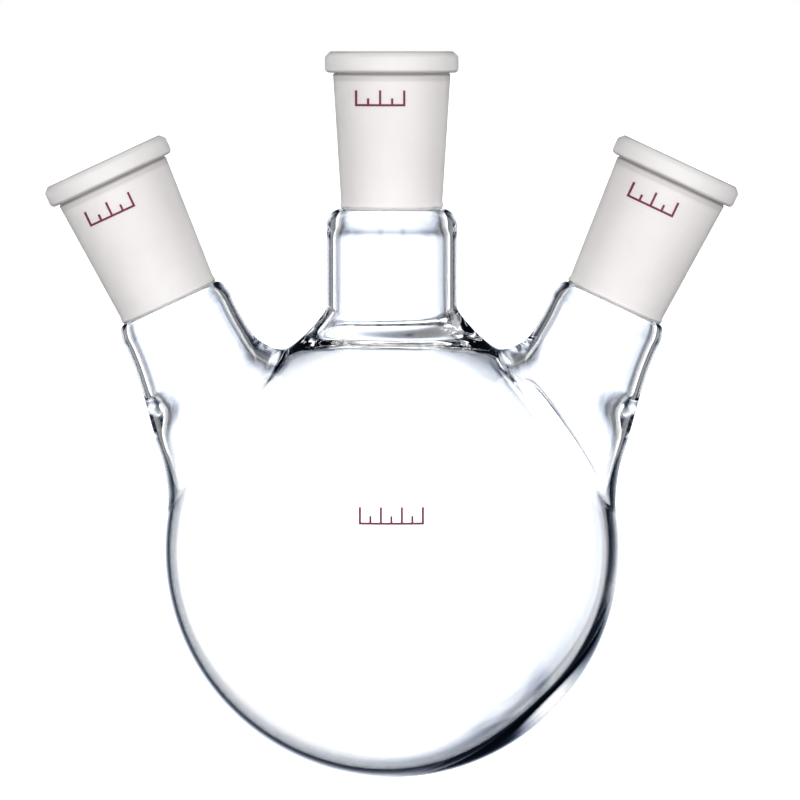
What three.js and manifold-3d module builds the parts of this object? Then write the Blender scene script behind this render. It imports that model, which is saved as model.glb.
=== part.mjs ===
// Three-neck round bottom flask in borosilicate glass, with ground taper sockets.
// Millimetres, +Z up. The origin is the lowest point of the bulb, and all three necks lie in the XZ plane.
import * as THREE from 'three';
import { mergeVertices } from 'three/addons/utils/BufferGeometryUtils.js';
import Module from 'manifold-3d';

const wasm = await Module();
wasm.setup();

// Bulb
const BULB_DIAMETER = 105;
const BULB_WALL = 1.8;

// Neck tubes
const TUBE_WALL = 1.6;
const CENTRE_TUBE_DIAMETER = 30;
const SIDE_TUBE_DIAMETER = 27;
const SIDE_TILT = THREE.MathUtils.degToRad(25); // each side neck's axis passes through the origin
const SIDE_FLARE_RADIUS = 17.2; // outside of a side tube where it runs out on the bulb
const SIDE_FLARE_TOP = 115; // distances from the origin along the side neck's own axis
const SIDE_FLARE_END = 84;
const SHOULDER_HEIGHT = 4; // rounded shoulder between a tube and the narrower socket on it

// Ground sockets: 24 mm at the mouth, tapering 1 in 10 on the diameter
const CENTRE_TOP = 167.2; // distance from the origin to the mouth, along the neck's axis
const SIDE_TOP = 156.8;
const SOCKET_LENGTH = 36;
const BORE_DIAMETER = 24;
const BORE_TAPER = 0.1;
const SOCKET_WALL = 1.5;
const BEAD_DIAMETER = 30.6;
const BEAD_HEIGHT = 4.9;
const BEAD_CHAMFER = 1.2;
const BEAD_ROUND = 1.1;
const BORE_LEAD_IN = 0.4;

// Fired enamel marks
const MARK_THICKNESS = 0.25;
const MARK_STROKE = 0.55;
const CAPACITY_MARK = { width: 14.4, height: 3.8, ticks: 7, centreHeight: 65 };
const SOCKET_MARK = { width: 11.4, height: 3.6, ticks: 5, belowMouth: 10.6, shift: -2.6 };

const SEAM = 0.3; // clearance at each fused seam and under each mark
const ROUND_SEGMENTS = 28;
const BULB_SEGMENTS = 40;
const ARC_STEP = THREE.MathUtils.degToRad(9);

const bulbRadius = BULB_DIAMETER / 2;

const clearGlass = () => new THREE.MeshStandardMaterial({ color: 0xeef3f6, roughness: 0.03, metalness: 0 });
const groundGlass = () => new THREE.MeshStandardMaterial({ color: 0xe6e2df, roughness: 0.6, metalness: 0 });
const enamel = () => new THREE.MeshStandardMaterial({ color: 0x6b1430, roughness: 0.45, metalness: 0 });

function turned(profile, segments) {
  // A profile of [radius, height] pairs spun round the Z axis
  const points = profile.map(([radius, height]) => new THREE.Vector2(radius, height));
  return new THREE.LatheGeometry(points, segments).rotateX(Math.PI / 2);
}

function arc(radius, centre, from, to, step = ARC_STEP) {
  // Points from one angle to another round [radius, height], angles counted from the horizontal
  const count = Math.max(2, Math.ceil(Math.abs(to - from) / step));
  return Array.from({ length: count + 1 }, (_, i) => {
    const angle = from + ((to - from) * i) / count;
    return [centre[0] + radius * Math.cos(angle), centre[1] + radius * Math.sin(angle)];
  });
}

function toSolid(geometry) {
  const bare = geometry.clone();
  bare.deleteAttribute('normal');
  bare.deleteAttribute('uv');
  const merged = mergeVertices(bare, 1e-4);
  const vertProperties = new Float32Array(merged.attributes.position.array);
  const triVerts = new Uint32Array(merged.index.array);
  return new wasm.Manifold(new wasm.Mesh({ numProp: 3, vertProperties, triVerts }));
}

function toGeometry(solid) {
  const mesh = solid.getMesh();
  const geometry = new THREE.BufferGeometry();
  geometry.setAttribute('position', new THREE.BufferAttribute(mesh.vertProperties, 3));
  geometry.setIndex(new THREE.BufferAttribute(mesh.triVerts, 1));
  geometry.computeVertexNormals();
  return geometry;
}

function named(name, geometry, material) {
  const mesh = new THREE.Mesh(geometry, material);
  mesh.name = name;
  return mesh;
}

function ball(radius, segments = BULB_SEGMENTS) {
  // A full sphere of the bulb's own facets, centred on the bulb
  const outline = arc(radius, [0, bulbRadius], -Math.PI / 2, Math.PI / 2);
  outline[0][0] = 0;
  outline[outline.length - 1][0] = 0;
  return turned(outline, segments);
}

// The two kinds of neck, each described along its own axis
const centreNeck = {
  tilt: 0,
  top: CENTRE_TOP,
  tubeRadius: CENTRE_TUBE_DIAMETER / 2,
  flare: (inset) => [[CENTRE_TUBE_DIAMETER / 2 - inset, bulbRadius * 1.8]],
};

function sideFlare(inset) {
  // The side tube widens towards the bulb in one smooth curve
  const radius = SIDE_TUBE_DIAMETER / 2 - inset;
  const foot = SIDE_FLARE_RADIUS - inset;
  const rise = SIDE_FLARE_TOP - SIDE_FLARE_END;
  const curve = new THREE.CubicBezierCurve(
    new THREE.Vector2(foot, SIDE_FLARE_END),
    new THREE.Vector2(foot - 0.6, SIDE_FLARE_END + 0.36 * rise),
    new THREE.Vector2(radius, SIDE_FLARE_TOP - 0.26 * rise),
    new THREE.Vector2(radius, SIDE_FLARE_TOP),
  );
  const points = curve.getPoints(6).map((point) => [point.x, point.y]);
  return [[foot, bulbRadius], ...points];
}

const sideNeck = (side) => ({
  tilt: side * SIDE_TILT,
  top: SIDE_TOP,
  tubeRadius: SIDE_TUBE_DIAMETER / 2,
  flare: sideFlare,
});

function shoulder(neck, inset, end) {
  // A quarter of an ellipse from the full tube up to the end of the socket
  const top = neck.top - SOCKET_LENGTH - SEAM;
  const radius = neck.tubeRadius - inset;
  const low = top - SHOULDER_HEIGHT;
  return [0, 0.35, 0.65, 0.87, 1].map((share) => {
    const angle = (share * Math.PI) / 2;
    return [end + (radius - end) * Math.cos(angle), low + SHOULDER_HEIGHT * Math.sin(angle)];
  });
}

const boreEnd = BORE_DIAMETER / 2 - (BORE_TAPER / 2) * SOCKET_LENGTH;
const socketEnd = boreEnd + SOCKET_WALL - 0.1;

function boreOutline(neck) {
  // The clear passage of a tube, from inside the bulb up to the socket
  return [...neck.flare(TUBE_WALL), ...shoulder(neck, TUBE_WALL, boreEnd)];
}

function bulbIn(neck, radius) {
  // The bulb as it lies in the neck's own frame
  return toSolid(ball(radius).rotateY(-neck.tilt));
}

function neckTube(neck) {
  const outside = [...neck.flare(0), ...shoulder(neck, 0, socketEnd)];
  const outline = [...outside, ...boreOutline(neck).reverse()];
  outline.push(outline[0]);
  const tube = toSolid(turned(outline, ROUND_SEGMENTS));
  return toGeometry(tube.subtract(bulbIn(neck, bulbRadius + SEAM)));
}

function borePlug(neck) {
  // The bore as a solid, to open the bulb under the neck
  const outline = boreOutline(neck);
  const base = [0, outline[0][1]];
  const tip = [0, outline[outline.length - 1][1]];
  return toSolid(turned([base, ...outline, tip], ROUND_SEGMENTS).rotateY(neck.tilt));
}

function bulb(necks) {
  const inside = ball(bulbRadius - BULB_WALL);
  let shell = toSolid(ball(bulbRadius)).subtract(toSolid(inside));
  for (const neck of necks) {
    shell = shell.subtract(borePlug(neck));
  }
  return toGeometry(shell);
}

function socketOutside(neck, lift = 0) {
  // The tapered outside of a socket below its bead, moved out by lift
  const low = neck.top - SOCKET_LENGTH;
  return [
    [socketEnd + lift, low],
    [BORE_DIAMETER / 2 + SOCKET_WALL + lift, neck.top - BEAD_HEIGHT],
  ];
}

function socket(neck) {
  const low = neck.top - SOCKET_LENGTH;
  const beadRadius = BEAD_DIAMETER / 2;
  const roundCentre = [beadRadius - BEAD_ROUND, neck.top - BEAD_HEIGHT + BEAD_ROUND];
  const outline = [
    [boreEnd, low],
    ...socketOutside(neck),
    ...arc(BEAD_ROUND, roundCentre, -Math.PI / 2, 0, Math.PI / 6),
    [beadRadius, neck.top - BEAD_CHAMFER],
    [beadRadius - BEAD_CHAMFER, neck.top],
    [BORE_DIAMETER / 2 + BORE_LEAD_IN, neck.top],
    [BORE_DIAMETER / 2, neck.top - BORE_LEAD_IN],
    [boreEnd, low],
  ];
  return turned(outline, ROUND_SEGMENTS);
}

function scaleShape({ width, height, ticks }) {
  // A level line with upright ticks of two heights on it, all in one outline
  const half = width / 2;
  const low = -height / 2;
  const shape = new THREE.Shape();
  shape.moveTo(-half, low);
  shape.lineTo(half, low);
  const pitch = (width - MARK_STROKE) / (ticks - 1);
  for (let i = ticks - 1; i >= 0; i -= 1) {
    const left = -half + i * pitch;
    const top = i % 2 === 0 ? height / 2 : 0;
    shape.lineTo(left + MARK_STROKE, low + (i === ticks - 1 ? 0 : MARK_STROKE));
    shape.lineTo(left + MARK_STROKE, top);
    shape.lineTo(left, top);
    if (i > 0) {
      shape.lineTo(left, low + MARK_STROKE);
    }
  }
  shape.closePath();
  return shape;
}

function markOn(skin, size, x, z) {
  // The mark's outline pushed in from the front and kept only where it meets the thin skin
  const stamp = new THREE.ExtrudeGeometry(scaleShape(size), { depth: BULB_DIAMETER, bevelEnabled: false });
  stamp.rotateX(Math.PI / 2);
  stamp.translate(x, 0, z);
  return toGeometry(toSolid(stamp).intersect(skin));
}

function bulbSkin() {
  const outer = toSolid(ball(bulbRadius + SEAM + MARK_THICKNESS));
  return outer.subtract(toSolid(ball(bulbRadius + SEAM)));
}

function socketSkin(neck) {
  const inner = socketOutside(neck, SEAM);
  const outer = socketOutside(neck, SEAM + MARK_THICKNESS);
  const outline = [inner[0], ...outer, inner[1], inner[0]];
  return toSolid(turned(outline, ROUND_SEGMENTS));
}

function placedNeck(label, neck) {
  const group = new THREE.Group();
  group.rotation.y = neck.tilt;
  group.add(named(`${label}_neck_tube`, neckTube(neck), clearGlass()));
  group.add(named(`${label}_joint_socket`, socket(neck), groundGlass()));
  const height = neck.top - SOCKET_MARK.belowMouth;
  const mark = markOn(socketSkin(neck), SOCKET_MARK, SOCKET_MARK.shift, height);
  group.add(named(`${label}_joint_mark`, mark, enamel()));
  return group;
}

const necks = { centre: centreNeck, left: sideNeck(-1), right: sideNeck(1) };

const group = new THREE.Group();
group.name = 'three_neck_round_bottom_flask';
group.add(named('bulb', bulb(Object.values(necks)), clearGlass()));
group.add(named('capacity_mark', markOn(bulbSkin(), CAPACITY_MARK, 0, CAPACITY_MARK.centreHeight), enamel()));
for (const [label, neck] of Object.entries(necks)) {
  group.add(placedNeck(label, neck));
}

export default group;
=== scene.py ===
"""Looks of a three-neck round bottom flask in borosilicate glass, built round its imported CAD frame.

Metres, +Z up. The bulb's lowest point is the origin, the three necks lie in the XZ plane, and the enamel
marks face -Y.
"""

import math

import bmesh
import bpy
from mathutils import Matrix, Vector


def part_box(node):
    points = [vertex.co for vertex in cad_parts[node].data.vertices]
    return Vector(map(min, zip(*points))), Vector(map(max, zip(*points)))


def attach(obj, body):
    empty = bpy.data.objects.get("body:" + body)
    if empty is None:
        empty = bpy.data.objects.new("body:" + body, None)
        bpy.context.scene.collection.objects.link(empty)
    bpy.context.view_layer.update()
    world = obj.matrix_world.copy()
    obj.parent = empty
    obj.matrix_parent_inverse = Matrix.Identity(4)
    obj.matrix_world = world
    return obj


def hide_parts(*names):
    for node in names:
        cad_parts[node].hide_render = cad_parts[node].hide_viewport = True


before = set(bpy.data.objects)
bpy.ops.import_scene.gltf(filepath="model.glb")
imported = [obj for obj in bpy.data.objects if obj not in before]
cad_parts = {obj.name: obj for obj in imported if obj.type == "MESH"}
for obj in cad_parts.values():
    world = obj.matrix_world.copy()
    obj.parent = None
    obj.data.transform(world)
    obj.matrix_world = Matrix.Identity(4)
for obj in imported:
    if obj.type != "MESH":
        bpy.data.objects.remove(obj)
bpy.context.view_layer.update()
mm = 0.001

# Camera.
# It stands level with the mouths of the necks, so that they are seen edge-on, and looks slightly down at
# the middle of the flask through a long lens.
view_width = 184.2 * mm
aim = Vector((1.9 * mm, 0, 87.1 * mm))
camera_place = Vector((aim.x, -1200 * mm, 172 * mm))

camera_data = bpy.data.cameras.new("camera")
camera_data.sensor_width = 36
camera_data.lens = camera_data.sensor_width * (aim - camera_place).length / view_width
camera_data.clip_end = 50
camera = bpy.data.objects.new("camera", camera_data)
camera.location = camera_place
camera.rotation_euler = (aim - camera_place).to_track_quat("-Z", "Y").to_euler()
bpy.context.scene.collection.objects.link(camera)
bpy.context.scene.camera = camera

# Studio.
# A white field stands behind the glass, with dark on both sides of it. Round the rest of the room the walls
# are pale, with thin dark strips and rings, and the ceiling and the floor are white. The edges of the glass
# bend the dark parts into view as dark lines.
field_light = 1.9
soft_light = 3.9
side_shade = 0.08
field_tones = [  # from the dark edge of the field to its middle
    (0.00, (0.004, 0.006, 0.011, 1)),
    (0.13, (0.013, 0.018, 0.030, 1)),
    (0.25, (0.065, 0.080, 0.115, 1)),
    (0.38, (0.26, 0.29, 0.35, 1)),
    (0.52, (0.50, 0.53, 0.58, 1)),
    (0.66, (0.76, 0.78, 0.81, 1)),
    (0.82, (1, 1, 1, 1)),
]
# The angles are all in degrees, and headings turn from +Y towards -X
field_heading = 2
field_height = -7
field_reach = 24
dark_flanks = (38, 46)  # where the dark beside the field starts to fade, and where it ends
ceiling_heights = (40, 60)
flank_floor_depths = (50, 65)
strips_round = 8  # thin dark strips that stand evenly all round the rest of the room
strip_fade = (-1, -0.35)  # from the middle of a strip, -1, to its edge, on a wave that goes from -1 to 1
strip_tone = 0.22  # 0 is the darkest of the tones above, 1 the lightest
ring_depths = (38, 57)
ring_reach = 6  # from the middle of a ring to its edge
floor_depths = (64, 69.7)

world = bpy.data.worlds.new("studio")
world.use_nodes = True
bpy.context.scene.world = world
sky = world.node_tree
sky.nodes.clear()


def sky_node(kind, **settings):
    node = sky.nodes.new(kind)
    for name, value in settings.items():
        setattr(node, name, value)
    return node


def sky_math(operation, first, second, clamp=False):
    node = sky_node("ShaderNodeMath", operation=operation, use_clamp=clamp)
    for socket, value in zip(node.inputs, (first, second)):
        if isinstance(value, (int, float)):
            socket.default_value = value
        else:
            sky.links.new(value, socket)
    return node.outputs[0]


def soft_step(value, low, high):
    step = sky_node("ShaderNodeMapRange", interpolation_type="SMOOTHSTEP")
    step.inputs["From Min"].default_value = low
    step.inputs["From Max"].default_value = high
    sky.links.new(value, step.inputs["Value"])
    return step.outputs[0]


direction = sky_node("ShaderNodeTexCoord").outputs["Generated"]
split = sky_node("ShaderNodeSeparateXYZ")
sky.links.new(direction, split.inputs[0])
upward = split.outputs["Z"]
downward = sky_math("MULTIPLY", upward, -1)


def slope_step(value, low, high):
    # A soft step between two angles from the horizon
    return soft_step(value, math.sin(math.radians(low)), math.sin(math.radians(high)))


heading, height = math.radians(field_heading), math.radians(field_height)
field_middle = Vector((-math.sin(heading), math.cos(heading), 0)) * math.cos(height)
field_middle.z = math.sin(height)
along = sky_node("ShaderNodeVectorMath", operation="DOT_PRODUCT")
along.inputs[1].default_value = field_middle
sky.links.new(direction, along.inputs[0])
apart = sky_math("ARCCOSINE", along.outputs["Value"], 0)
field = sky_math("SUBTRACT", 1, sky_math("DIVIDE", apart, math.radians(field_reach)), clamp=True)

turn = sky_math("ARCTAN2", split.outputs["X"], split.outputs["Y"])
wave = sky_math("COSINE", sky_math("MULTIPLY", turn, strips_round), 0)
walls = soft_step(wave, *strip_fade)
for depth in ring_depths:
    over_ring = sky_math("SUBTRACT", 1, slope_step(downward, depth - ring_reach, depth))
    under_ring = slope_step(downward, depth, depth + ring_reach)
    walls = sky_math("MINIMUM", walls, sky_math("MAXIMUM", over_ring, under_ring))
walls = sky_math("ADD", sky_math("MULTIPLY", walls, 1 - strip_tone), strip_tone)
walls = sky_math("MAXIMUM", walls, slope_step(downward, *floor_depths))
outside = soft_step(sky_math("ABSOLUTE", turn, 0), *map(math.radians, dark_flanks))
room = sky_node("ShaderNodeMapRange", clamp=True)
sky.links.new(outside, room.inputs["Value"])
sky.links.new(sky_math("MAXIMUM", field, slope_step(downward, *flank_floor_depths)), room.inputs["To Min"])
sky.links.new(sky_math("MAXIMUM", walls, field), room.inputs["To Max"])
brightness = sky_math("MAXIMUM", room.outputs[0], slope_step(upward, *ceiling_heights))

ramp = sky_node("ShaderNodeValToRGB")
tones = ramp.color_ramp.elements
tones[0].position, tones[0].color = field_tones[0]
tones[1].position, tones[1].color = field_tones[-1]
for position, tone in field_tones[1:-1]:
    tones.new(position).color = tone
sky.links.new(brightness, ramp.inputs[0])

surroundings = sky_node("ShaderNodeBackground")
surroundings.inputs["Strength"].default_value = field_light
sky.links.new(ramp.outputs["Color"], surroundings.inputs["Color"])
# Only the glass sees the room. Everything else is lit by a plain white light, weaker from the sides
plain = sky_node("ShaderNodeBackground")
path = sky_node("ShaderNodeLightPath")
through = sky_math("MAXIMUM", path.outputs["Is Transmission Ray"], path.outputs["Is Glossy Ray"])
unscattered = sky_math("LESS_THAN", path.outputs["Diffuse Depth"], 0.5)
through = sky_math("MULTIPLY", through, unscattered)
facing = sky_math("MULTIPLY", split.outputs["Y"], split.outputs["Y"])
facing = sky_math("MULTIPLY", facing, facing)
soft = sky_math("ADD", sky_math("MULTIPLY", facing, 1 - side_shade), side_shade)
plain.inputs["Color"].default_value = (1, 1, 1, 1)
sky.links.new(sky_math("MULTIPLY", soft, soft_light), plain.inputs["Strength"])
choose = sky_node("ShaderNodeMixShader")
sky.links.new(through, choose.inputs[0])
sky.links.new(plain.outputs[0], choose.inputs[1])
sky.links.new(surroundings.outputs[0], choose.inputs[2])
backdrop = sky_node("ShaderNodeBackground")
backdrop.inputs["Color"].default_value = (1, 1, 1, 1)
seen = sky_node("ShaderNodeMixShader")
sky.links.new(path.outputs["Is Camera Ray"], seen.inputs[0])
sky.links.new(choose.outputs[0], seen.inputs[1])
sky.links.new(backdrop.outputs[0], seen.inputs[2])
sky.links.new(seen.outputs[0], sky_node("ShaderNodeOutputWorld").inputs["Surface"])

view_settings = bpy.context.scene.view_settings
view_settings.view_transform = "Standard"
view_settings.look = "None"
cycles = bpy.context.scene.cycles
cycles.max_bounces = 32
cycles.transmission_bounces = 32
cycles.glossy_bounces = 12
cycles.transparent_max_bounces = 32
cycles.blur_glossy = 0.0
cycles.sample_clamp_indirect = 8.0

floor_material = bpy.data.materials.new("pale_floor")
floor_material.use_nodes = True
floor_shader = floor_material.node_tree.nodes["Principled BSDF"]
floor_shader.inputs["Base Color"].default_value = (0.9, 0.9, 0.9, 1)
floor_shader.inputs["Roughness"].default_value = 0.8
floor_shader.inputs["Emission Color"].default_value = (1, 1, 1, 1)
floor_shader.inputs["Emission Strength"].default_value = 0.7
floor_mesh = bpy.data.meshes.new("floor")
bm = bmesh.new()
bmesh.ops.create_grid(bm, x_segments=1, y_segments=1, size=20)
bmesh.ops.translate(bm, verts=bm.verts, vec=(0, 0, -0.5 * mm))
bm.to_mesh(floor_mesh)
bm.free()
floor = bpy.data.objects.new("floor", floor_mesh)
floor_mesh.materials.append(floor_material)
floor.visible_transmission = False
floor.visible_glossy = False
floor.visible_diffuse = False
bpy.context.scene.collection.objects.link(floor)

# Bulb.
# Blown borosilicate sphere, clear with a faint cool tint, whose wall is a little uneven as blown glass is.
# Three holes are pulled up into lips, which flow into the tubes welded on them.
bulb_low, bulb_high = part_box("bulb")
bulb_radius = (bulb_high.x - bulb_low.x) / 2
bulb_centre = Vector((0, 0, bulb_low.z + bulb_radius))
wall = 1.8 * mm
weld_height = 112 * mm  # where the tubes are welded on, along each neck's own axis
side_tilt = math.radians(25)
glass_ior = 1.474
around = 144  # steps round a neck, up its fillet and up the rest of its lip
fillet_steps = 14
lip_steps = 18
exact = 0.001 * mm


def new_material(name):
    material = bpy.data.materials.new(name)
    material.use_nodes = True
    return material, material.node_tree, material.node_tree.nodes["Principled BSDF"]


def noise_on_object(tree, scale, detail=2.0):
    # A noise pattern fixed in the flask's own space
    place = tree.nodes.new("ShaderNodeTexCoord")
    noise = tree.nodes.new("ShaderNodeTexNoise")
    noise.inputs["Scale"].default_value = scale
    noise.inputs["Detail"].default_value = detail
    tree.links.new(place.outputs["Object"], noise.inputs["Vector"])
    return noise.outputs["Fac"]


def tint_between(tree, factor, first, second):
    blend = tree.nodes.new("ShaderNodeMix")
    blend.data_type = "RGBA"
    blend.inputs["A"].default_value = (*first, 1)
    blend.inputs["B"].default_value = (*second, 1)
    tree.links.new(factor, blend.inputs["Factor"])
    return blend.outputs["Result"]


def roughness_between(tree, shader, factor, low, high):
    rough = tree.nodes.new("ShaderNodeMapRange")
    rough.inputs["To Min"].default_value = low
    rough.inputs["To Max"].default_value = high
    tree.links.new(factor, rough.inputs["Value"])
    tree.links.new(rough.outputs[0], shader.inputs["Roughness"])


clear_glass, tree, shader = new_material("clear_borosilicate_glass")
shader.inputs["Transmission Weight"].default_value = 1
shader.inputs["IOR"].default_value = glass_ior
shader.inputs["Roughness"].default_value = 0
cast = tint_between(tree, noise_on_object(tree, 30), (0.985, 0.99, 0.995), (0.97, 0.98, 0.99))
tree.links.new(cast, shader.inputs["Base Color"])

weld, tree, shader = new_material("fused_weld")
open_weld = tree.nodes.new("ShaderNodeBsdfTransparent")
tree.links.new(open_weld.outputs[0], tree.nodes["Material Output"].inputs["Surface"])
tree.nodes.remove(shader)


class Neck:
    """One neck: its axis from the origin, the size of its tube, and how it widens towards the bulb.

    A lip is the length of the fillet on the bulb, its length on the tube, and how full it is. The webs are
    the directions round the neck in which the next neck stands close by.
    """

    def __init__(self, label, tilt, top, tube, foot, flare, webs, free_lip, web_lip):
        self.label = label
        self.turn = Matrix.Rotation(tilt, 4, "Y")
        self.top = top
        self.tube = tube
        self.foot = foot
        self.flare_low, self.flare_high = flare
        self.webs = webs
        self.free_lip = free_lip
        self.web_lip = web_lip

    def radius(self, height):
        # Outside radius of the tube at a height along its own axis
        share = (self.flare_high - height) / (self.flare_high - self.flare_low)
        share = min(max(share, 0), 1)
        return self.tube + (self.foot - self.tube) * share * share * (3 - 2 * share)

    def skin(self, angle, height):
        # A point on the outside of the tube
        radius = self.radius(height)
        return self.turn @ Vector((radius * math.cos(angle), radius * math.sin(angle), height))

    def meeting(self, angle):
        # Height at which the tube's outside meets the bulb, on one side of the tube
        low, high = 60 * mm, weld_height
        while high - low > exact:
            middle = (low + high) / 2
            if (self.skin(angle, middle) - bulb_centre).length < bulb_radius:
                low = middle
            else:
                high = middle
        return low

    def lip(self, angle):
        # The lip on one side of the tube, between the free one and the one at a web
        near_web = max(max(math.cos(angle - web), 0) ** 4 for web in self.webs)
        return [free + (web - free) * near_web for free, web in zip(self.free_lip, self.web_lip)]


centre_neck = Neck(
    "centre",
    tilt=0,
    top=167.2 * mm,
    tube=15 * mm,
    foot=15 * mm,
    flare=(100 * mm, 101 * mm),
    webs=(0, math.pi),
    free_lip=(3.6 * mm, 2.8 * mm, 0.5),
    web_lip=(9.1 * mm, 5.8 * mm, 0.27),
)
side_sizes = {
    "top": 156.8 * mm,
    "tube": 13.5 * mm,
    "foot": 17.2 * mm,
    "flare": (84 * mm, 115 * mm),
    "free_lip": (6.5 * mm, 7 * mm, 0.5),
    "web_lip": (4.4 * mm, 7 * mm, 0.4),
}
left_neck = Neck("left", tilt=-side_tilt, webs=(0,), **side_sizes)
right_neck = Neck("right", tilt=side_tilt, webs=(math.pi,), **side_sizes)
necks = [centre_neck, left_neck, right_neck]


def foot_direction(neck):
    # Direction from the bulb's centre to the middle of a neck's foot
    inner, outer = [neck.skin(angle, neck.meeting(angle)) - bulb_centre for angle in (math.pi, 0)]
    return (inner.normalized() + outer.normalized()).normalized()


def lip_line(neck, angle):
    # A line on the outside of the glass, from the bulb round the fillet and up the tube to the weld
    on_bulb, on_tube, fullness = neck.lip(angle)
    height = neck.meeting(angle)
    corner = neck.skin(angle, height) - bulb_centre
    hinge = foot_direction(neck).cross(corner).normalized()
    turns = [Matrix.Rotation(reach / bulb_radius, 3, hinge) for reach in (on_bulb + 0.5 * mm, on_bulb)]
    start, leave = [bulb_centre + turned @ corner for turned in turns]
    corner += bulb_centre
    heading = -hinge.cross(leave - bulb_centre).normalized()
    arrive_height = height + on_tube
    arrive = neck.skin(angle, arrive_height)
    rise = (neck.skin(angle, arrive_height + 0.1 * mm) - arrive).normalized()
    first = leave + heading * (corner - leave).length * fullness
    second = arrive - rise * (arrive - corner).length * fullness
    points = [start]
    for u in [i / fillet_steps for i in range(fillet_steps + 1)]:
        a, b, c, d = (1 - u) ** 3, 3 * u * (1 - u) ** 2, 3 * u * u * (1 - u), u**3
        points.append(a * leave + b * first + c * second + d * arrive)
    for i in range(1, lip_steps + 1):
        points.append(neck.skin(angle, arrive_height + (weld_height - arrive_height) * i / lip_steps))
    return points


def swelling(place, middle, spread):
    # A smooth bump, 1 at its middle
    return math.exp(-(((place - middle) / spread) ** 2))


def bead_inside(neck, place, share):
    # How much thicker the glass is where the melted weld has drawn together on the inside. The share runs
    # from 0, where the fillet leaves the bulb, to 1, where it meets the tube.
    own = neck.turn.inverted() @ place
    angle = math.atan2(own.y, own.x)
    if neck is centre_neck:
        return 1.2 * (1 + 0.5 * math.cos(angle)) * swelling(share, 0.42, 0.28)
    outward = -math.cos(angle - neck.webs[0])
    above_weld = own.z - (103 - 2.5 * outward) * mm
    spread = 1.5 * mm if above_weld > 0 else 4 * mm
    ring = 0.6 * max(outward, 0) ** 2 * swelling(above_weld, 0, spread)
    ridge = 0.55 * max(-outward, 0) ** 2 * swelling(share, 0.4, 0.35)
    return ring + ridge


def thick_spots(place):
    # The blown wall is thinner on the left and thickest low on the right
    ray = (place - bulb_centre).normalized()
    thickest = Vector((0.68, -0.05, -0.73))
    return 1 + 0.22 * ray.x + 0.5 * swelling(ray.angle(thickest), 0, math.radians(24))


def covered(neck, place):
    # Whether a place on the bulb lies under a neck's lip or close to it
    toward = foot_direction(neck)
    own = neck.turn.inverted() @ place
    angle = math.atan2(own.y, own.x)
    edge = lip_line(neck, angle)[0]
    return toward.angle(place - bulb_centre) < toward.angle(edge - bulb_centre) + 0.6 * mm / bulb_radius


def at_weld(neck, place):
    # Whether a place lies on the rim that a neck's tube is welded on
    height = (neck.turn.inverted() @ place).z
    off_axis = (place - neck.turn @ Vector((0, 0, weld_height))).length
    return abs(height - weld_height) < 0.01 * mm and off_axis < 1.2 * neck.tube


def on_weld(neck, edge):
    return all(at_weld(neck, v.co) for v in edge.verts)


def flattened(place):
    # The bulb laid flat from its lowest point, so that shapes keep their angles
    ray = (place - bulb_centre).normalized()
    return Vector((ray.x, ray.y, 0)) / (1 + ray.z)


def add_piece(name, mesh, node, materials):
    data = bpy.data.meshes.new(name)
    mesh.to_mesh(data)
    mesh.free()
    for material in materials:
        data.materials.append(material)
    piece = bpy.data.objects.new(name, data)
    bpy.context.scene.collection.objects.link(piece)
    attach(piece, "root")
    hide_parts(node)
    return piece


bm = bmesh.new()
bmesh.ops.create_uvsphere(bm, u_segments=192, v_segments=96, radius=bulb_radius)
bmesh.ops.translate(bm, verts=bm.verts, vec=bulb_centre)
upper = [v for v in bm.verts if v.co.z > bulb_centre.z]
under_lips = [v for v in upper if any(covered(neck, v.co) for neck in necks)]
bmesh.ops.delete(bm, geom=under_lips, context="VERTS")
bmesh.ops.delete(bm, geom=[e for e in bm.edges if e.is_wire], context="EDGES")
line = bm.verts.layers.int.new("line")
thickness = bm.verts.layers.float.new("thickness")
for v in bm.verts:
    v[thickness] = wall * thick_spots(v.co)
for neck in necks:
    # A ring on the bulb is drawn up step by step, round the fillet and along the tube
    lines = [lip_line(neck, 2 * math.pi * i / around) for i in range(around)]
    ring = bmesh.ops.create_circle(bm, segments=around, radius=1)["verts"]
    rim = list(dict.fromkeys(e for v in ring for e in v.link_edges))
    for i, v in enumerate(ring):
        v[line] = i
    for step in range(len(lines[0])):
        if step > 0:
            raised = bmesh.ops.extrude_edge_only(bm, edges=rim)["geom"]
            ring = [v for v in raised if isinstance(v, bmesh.types.BMVert)]
            rim = [e for e in raised if isinstance(e, bmesh.types.BMEdge)]
        share = (step - 1) / fillet_steps
        for v in ring:
            v.co = lines[v[line]][step]
            blown = 1 + (thick_spots(v.co) - 1) * min(max(1 - share, 0), 1)
            v[thickness] = wall * blown * (1 + bead_inside(neck, v.co, share))
# The gap between the lips and the sphere is closed while both lie flat
rims = [e for e in bm.edges if e.is_boundary and any(on_weld(neck, e) for neck in necks)]
gap = [e for e in bm.edges if len(e.link_faces) == 1 and e not in rims]
places = {v: v.co.copy() for e in gap for v in e.verts}
for v, place in places.items():
    v.co = flattened(place)
bmesh.ops.triangle_fill(bm, use_beauty=True, edges=gap, normal=(0, 0, 1))
for v, place in places.items():
    v.co = place
bmesh.ops.recalc_face_normals(bm, faces=bm.faces)
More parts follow.
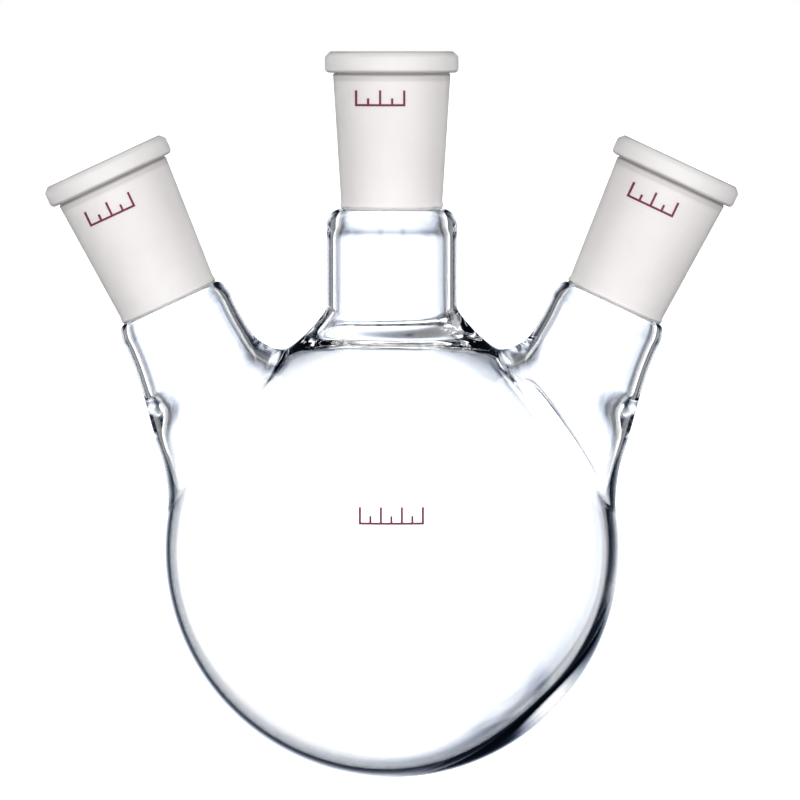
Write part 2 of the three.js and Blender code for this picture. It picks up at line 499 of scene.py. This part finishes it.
# The inner skin is a copy of the outer one, moved in by the thickness of the wall
inner = bmesh.ops.duplicate(bm, geom=bm.verts[:] + bm.edges[:] + bm.faces[:])["geom"]
inner_faces = [f for f in inner if isinstance(f, bmesh.types.BMFace)]
bm.normal_update()
for v in [v for v in inner if isinstance(v, bmesh.types.BMVert)]:
    welded = next((neck for neck in necks if at_weld(neck, v.co)), None)
    radial = v.co - bulb_centre
    if welded:
        outward = v.co - welded.turn @ Vector((0, 0, weld_height))
        v.co -= outward.normalized() * wall
    elif abs(radial.length - bulb_radius) < exact:
        v.co -= radial.normalized() * v[thickness]
    else:
        v.co -= v.normal * v[thickness]
bmesh.ops.reverse_faces(bm, faces=inner_faces)
for face in bm.faces:
    face.smooth = True
for neck in necks:
    ends = [e for e in bm.edges if e.is_boundary and on_weld(neck, e)]
    for face in bmesh.ops.bridge_loops(bm, edges=ends)["faces"]:
        face.material_index = 1
        face.smooth = False
        for edge in face.edges:
            edge.smooth = False
bmesh.ops.recalc_face_normals(bm, faces=bm.faces)
add_piece("blown_bulb", bm, "bulb", [clear_glass, weld])

# Neck tubes.
# Drawn borosilicate tubing welded on the bulb's lips. Each one ends in a rounded shoulder, where it is
# melted down to the narrower foot of its socket.
joint_length = 36 * mm
joint_foot = 11.6 * mm
joint_bore_foot = 10.2 * mm
joint_lift = 0.6 * mm  # how far a tube's melted end reaches up the socket
foot_flare = 0.3 * mm
shoulder_height = 4 * mm
shoulder_steps = 14
centre_sag = 3 * mm  # how much lower the shoulder starts on the inside
side_sag = 0.6 * mm


def spun(outline):
    # A closed outline of (radius, height) pairs spun round the neck's axis, then tilted into place
    mesh = bmesh.new()
    corners = [mesh.verts.new((radius, 0, height)) for radius, height in outline]
    rims = [mesh.edges.new((corners[i - 1], corners[i])) for i in range(len(corners))]
    bmesh.ops.spin(
        mesh,
        geom=corners + rims,
        axis=(0, 0, 1),
        cent=(0, 0, 0),
        angle=2 * math.pi,
        steps=around,
        use_merge=True,
    )
    bmesh.ops.remove_doubles(mesh, verts=mesh.verts, dist=0.0001 * mm)
    bmesh.ops.recalc_face_normals(mesh, faces=mesh.faces)
    for face in mesh.faces:
        face.smooth = True
    return mesh


def set_welds(mesh, heights):
    # The flat ends that are fused to a neighbour: their own material, with sharp rims
    for face in mesh.faces:
        for height in heights:
            if all(abs(v.co.z - height) < exact for v in face.verts):
                face.material_index = 1
                face.smooth = False
                for edge in face.edges:
                    if any(abs(f.normal.z) < 0.9 for f in edge.link_faces):
                        edge.smooth = False


def steps(first, last, count):
    return [first + (last - first) * i / count for i in range(count + 1)]


def shoulder(tube, foot, low, high):
    # From the full tube round a quarter ellipse to the foot of the socket
    bends = [math.pi / 2 * i / shoulder_steps for i in range(1, shoulder_steps + 1)]
    return [(foot + (tube - foot) * math.cos(bend), low + (high - low) * math.sin(bend)) for bend in bends]


frosted_glass, tree, shader = new_material("ground_borosilicate_glass")
shader.inputs["Transmission Weight"].default_value = 0.3
shader.inputs["IOR"].default_value = glass_ior
frost = noise_on_object(tree, 900, 4)
grey = tint_between(tree, frost, (0.92, 0.905, 0.895), (0.97, 0.96, 0.95))
tree.links.new(grey, shader.inputs["Base Color"])
roughness_between(tree, shader, frost, 0.5, 0.7)

for neck in necks:
    joint = neck.top - joint_length
    low = joint - shoulder_height
    outside = [(neck.radius(h), h) for h in steps(weld_height, low, 16)]
    outside += shoulder(neck.tube, joint_foot, low, joint)
    outside += [(joint_foot + 0.05 * mm, joint + 0.2 * mm), (joint_foot + foot_flare, joint + joint_lift)]
    sag = centre_sag if neck is centre_neck else side_sag
    bore = [(neck.radius(h) - wall, h) for h in steps(weld_height, low - sag, 16)]
    bore += shoulder(neck.tube - wall, joint_bore_foot, low - sag, joint - 0.6 * mm)
    bore += [(joint_bore_foot, joint), (joint_bore_foot, joint + joint_lift)]
    tube = spun(outside + bore[::-1])
    set_welds(tube, (weld_height, joint + joint_lift))
    for face in tube.faces:
        if face.material_index == 0 and all(v.co.z > joint - 0.65 * mm for v in face.verts):
            if math.hypot(*face.calc_center_median().xy) < joint_bore_foot + 0.3 * mm:
                face.material_index = 2
    bmesh.ops.transform(tube, matrix=neck.turn, verts=tube.verts)
    materials = [clear_glass, weld, frosted_glass]
    add_piece(f"{neck.label}_tube", tube, f"{neck.label}_neck_tube", materials)

# Ground sockets.
# Taper sockets, 1 in 10. The bore is ground with grit to a fine, even frost, the outside has a satin finish
# with fine rings, and the rim is rolled into a bead with a small chamfer round the mouth.
bead_radius = 15.3 * mm
bead_height = 4.9 * mm
bead_rounding = 1.1 * mm
mouth_radius = 12 * mm
body_radius = 13.5 * mm

satin_glass, tree, shader = new_material("pressed_borosilicate_glass")
shader.inputs["Transmission Weight"].default_value = 0.45
shader.inputs["IOR"].default_value = glass_ior
along = tree.nodes.new("ShaderNodeAttribute")
along.attribute_name = "below_mouth"
turns = tree.nodes.new("ShaderNodeTexNoise")
turns.noise_dimensions = "1D"
turns.inputs["Scale"].default_value = 2600
turns.inputs["Detail"].default_value = 3
tree.links.new(along.outputs["Fac"], turns.inputs["W"])
cloud = noise_on_object(tree, 160, 3)
pale = tint_between(tree, cloud, (0.90, 0.885, 0.88), (0.96, 0.95, 0.94))
# Painted shade: darker at the rim and in the groove under the bead, by the share of the socket's length
# below the mouth, in place of the dark lines that clear glass would bend into view there
edges = tree.nodes.new("ShaderNodeValToRGB")
edges.color_ramp.elements[0].color = (0.55, 0.52, 0.53, 1)
edges.color_ramp.elements[1].color = (1, 1, 1, 1)
edges.color_ramp.elements[1].position = 0.016
# Painted shade in the groove under the bead and in a fainter line just below it
painted_shade_tones = ((0.115, 1.0), (0.131, 0.42), (0.146, 0.42), (0.157, 0.86), (0.178, 0.80), (0.196, 1.0))
for position, tone in painted_shade_tones:
    edges.color_ramp.elements.new(position).color = (tone, tone * 0.98, tone * 0.985, 1)
depth = tree.nodes.new("ShaderNodeMath")
depth.operation = "DIVIDE"
depth.inputs[1].default_value = joint_length
tree.links.new(along.outputs["Fac"], depth.inputs[0])
tree.links.new(depth.outputs[0], edges.inputs[0])
painted_shade_mix = tree.nodes.new("ShaderNodeMix")
painted_shade_mix.data_type = "RGBA"
painted_shade_mix.blend_type = "MULTIPLY"
painted_shade_mix.inputs["Factor"].default_value = 1
tree.links.new(pale, painted_shade_mix.inputs["A"])
tree.links.new(edges.outputs["Color"], painted_shade_mix.inputs["B"])
tree.links.new(painted_shade_mix.outputs["Result"], shader.inputs["Base Color"])
roughness_between(tree, shader, turns.outputs["Fac"], 0.3, 0.5)
ridges = tree.nodes.new("ShaderNodeBump")
ridges.inputs["Strength"].default_value = 0.35
ridges.inputs["Distance"].default_value = 0.1 * mm
tree.links.new(turns.outputs["Fac"], ridges.inputs["Height"])
tree.links.new(ridges.outputs[0], shader.inputs["Normal"])

for neck in necks:
    top = neck.top
    low = top - joint_length + joint_lift
    under = top - bead_height
    widening = body_radius - joint_foot
    cone_height = under - 0.3 * mm - low
    outside = [(joint_foot + foot_flare, low), (joint_foot + 0.2 * mm, low + 0.35 * mm)]
    outside += [(joint_foot + 0.08 * mm, low + 0.8 * mm)]
    outside += [(joint_foot + widening * u, low + cone_height * u) for u in steps(0, 1, 24)[1:]]
    outside += [(body_radius - 0.3 * mm, under - 0.15 * mm), (body_radius - 0.3 * mm, under + 0.1 * mm)]
    outside += [(body_radius - 0.1 * mm, under + 0.15 * mm), (body_radius + 0.3 * mm, under)]
    for bend in steps(0, math.pi / 2, 8):
        out = bead_radius - bead_rounding + bead_rounding * math.sin(bend)
        outside.append((out, under + bead_rounding - bead_rounding * math.cos(bend)))
    outside += [(bead_radius, top - 1.3 * mm), (bead_radius - 0.15 * mm, top - 1.05 * mm)]
    outside += [(bead_radius - 1.05 * mm, top - 0.15 * mm), (bead_radius - 1.3 * mm, top)]
    bore = [(mouth_radius + 0.4 * mm, top), (mouth_radius + 0.1 * mm, top - 0.12 * mm)]
    rise = low - top + 0.4 * mm
    taper = joint_bore_foot - mouth_radius
    bore += [(mouth_radius + taper * u, top - 0.4 * mm + rise * u) for u in steps(0, 1, 24)]
    socket = spun(outside + bore)
    set_welds(socket, (low,))
    for face in socket.faces:
        middle = face.calc_center_median()
        inward = face.normal.x * middle.x + face.normal.y * middle.y < 0
        if inward and face.material_index == 0:
            face.material_index = 2
    below_mouth = socket.verts.layers.float.new("below_mouth")
    for v in socket.verts:
        v[below_mouth] = top - v.co.z
    bmesh.ops.transform(socket, matrix=neck.turn, verts=socket.verts)
    materials = [satin_glass, weld, frosted_glass]
    add_piece(f"{neck.label}_socket", socket, f"{neck.label}_joint_socket", materials)

# Enamel marks.
# Small marks screen-printed in dark maroon enamel and fired on the front of the bulb and of each socket: a
# level line with upright ticks of two heights on it.
stroke = 0.5 * mm
stroke_cell = 0.4 * mm
print_height = 0.05 * mm
print_lift = 0.02 * mm
capacity_height = 65 * mm
socket_mark_depth = 10.6 * mm  # below the mouth
socket_mark_shift = -2.6 * mm

enamel, tree, shader = new_material("fired_maroon_enamel")
shader.inputs["Specular IOR Level"].default_value = 0.4
speckle = noise_on_object(tree, 2500, 3)
maroon = tint_between(tree, speckle, (0.10, 0.006, 0.03), (0.17, 0.012, 0.05))
tree.links.new(maroon, shader.inputs["Base Color"])
roughness_between(tree, shader, speckle, 0.35, 0.6)


def bar(mesh, left, right, low, high):
    # A flat stroke, cut finely enough to follow a curved wall
    across = max(2, round((right - left) / stroke_cell))
    upward = max(2, round((high - low) / stroke_cell))
    made = bmesh.ops.create_grid(mesh, x_segments=across, y_segments=upward, size=0.5)["verts"]
    size = Matrix.Diagonal((right - left, high - low, 1, 1))
    bmesh.ops.transform(mesh, matrix=size, verts=made)
    upright = Matrix.Rotation(math.pi / 2, 4, "X")
    bmesh.ops.transform(mesh, matrix=upright, verts=made)
    bmesh.ops.translate(mesh, verts=made, vec=((left + right) / 2, 0, (low + high) / 2))


def level_mark(width, height, ticks):
    mesh = bmesh.new()
    bar(mesh, -width / 2, width / 2, -height / 2, -height / 2 + stroke)
    pitch = (width - stroke) / (ticks - 1)
    for i in range(ticks):
        left = -width / 2 + i * pitch
        top = height / 2 if i % 2 == 0 else 0
        bar(mesh, left, left + stroke, -height / 2 + stroke, top)
    return mesh


def finish_mark(name, mesh, node):
    bmesh.ops.recalc_face_normals(mesh, faces=mesh.faces)
    if sum(face.normal.y for face in mesh.faces) > 0:
        bmesh.ops.reverse_faces(mesh, faces=mesh.faces)
    piece = add_piece(name, mesh, node, [enamel])
    film = piece.modifiers.new("film", "SOLIDIFY")
    film.thickness = print_height * 2
    film.offset = 1


mark = level_mark(14.4 * mm, 3.8 * mm, 7)
bmesh.ops.translate(mark, verts=mark.verts, vec=(0, 0, capacity_height))
for v in mark.verts:
    v.co.y = -math.sqrt(bulb_radius**2 - v.co.x**2 - (v.co.z - bulb_centre.z) ** 2) - print_lift
finish_mark("capacity_print", mark, "capacity_mark")

for neck in necks:
    mark = level_mark(11.4 * mm, 3.6 * mm, 5)
    place = (socket_mark_shift, 0, neck.top - socket_mark_depth)
    bmesh.ops.translate(mark, verts=mark.verts, vec=place)
    foot = neck.top - joint_length + joint_lift
    for v in mark.verts:
        share = (v.co.z - foot) / (neck.top - bead_height - foot)
        radius = joint_foot + (body_radius - joint_foot) * share
        v.co.y = -math.sqrt(radius**2 - v.co.x**2) - print_lift
    bmesh.ops.transform(mark, matrix=neck.turn, verts=mark.verts)
    finish_mark(f"{neck.label}_joint_print", mark, f"{neck.label}_joint_mark")
